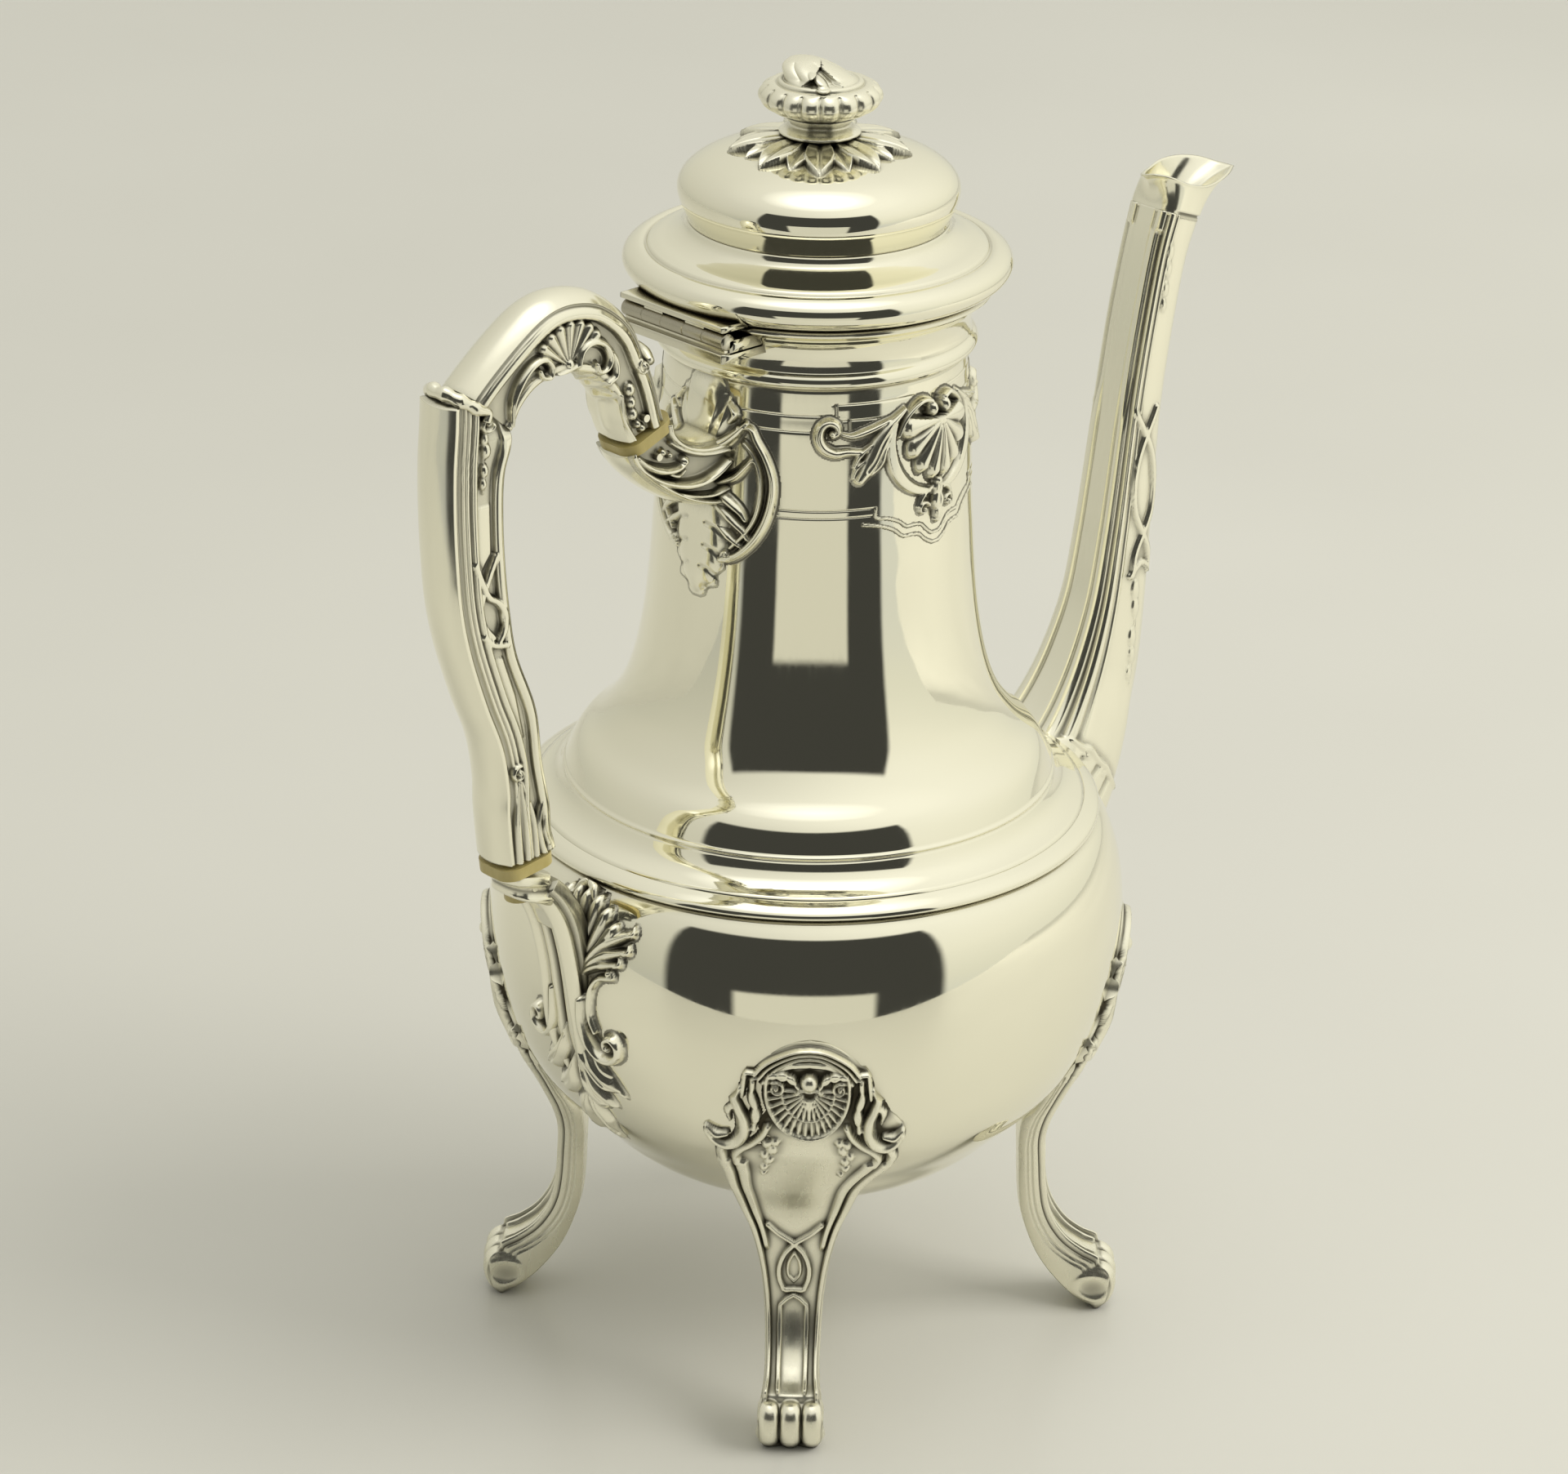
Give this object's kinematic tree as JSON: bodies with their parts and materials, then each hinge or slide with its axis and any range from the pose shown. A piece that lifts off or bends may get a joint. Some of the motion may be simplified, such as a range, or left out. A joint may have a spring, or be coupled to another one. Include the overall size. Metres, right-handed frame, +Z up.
{
  "type": "coffee pot",
  "caption": "Silver coffee pot with a pear-shaped body, tall spout, insulated scroll handle, hinged domed lid with a bud finial, and cast feet with shell cartouches.",
  "frame": {"origin": "on the pot's vertical axis, in the plane of the surface that the feet stand on", "axes": "+Z up along the pot's axis, +X towards the spout, -X towards the handle and the lid's hinge"},
  "size_m": [0.2156, 0.1288, 0.2672],
  "materials": {
    "silver": "warm polished silver with fine wear",
    "cast_silver": "cast and chased silver, polished on the high parts and dark in the recesses",
    "ivory": "yellowed ivory-coloured insulator"
  },
  "bodies": {
    "pot": {"belly_bowl": "silver", "shoulder_moulding": "silver", "neck_shell": "silver", "mouth_collar": "silver", "spout_tube": "silver", "spout_beak": "silver", "foot_front_left": "cast_silver", "foot_front_right": "cast_silver", "foot_back_left": "cast_silver", "foot_back_right": "cast_silver", "neck_ornament_front": "cast_silver", "neck_ornament_back": "cast_silver", "upper_handle_socket": "cast_silver", "lower_handle_socket": "cast_silver", "upper_insulator": "ivory", "lower_insulator": "ivory", "handle_grip": "cast_silver", "upper_handle_pins": "silver", "lower_handle_pins": "silver", "body_hinge_leaf": "silver", "hinge_pin": "silver"},
    "lid": {"lid_hinge_leaf": "silver", "lid_flange": "silver", "lid_bezel": "silver", "lid_dome": "silver", "leaf_rosette": "cast_silver", "finial_spool": "cast_silver", "finial_bud": "cast_silver", "finial_stud": "silver", "finial_nut": "silver", "finial_washer": "silver"}
  },
  "joints": [
    {"name": "lid_hinge", "type": "hinge", "parent": "pot", "child": "lid", "pos_m": [-0.0366, 0, 0.2226], "axis": [0, -1, 0], "range_deg": [0, 84]}
  ]
}
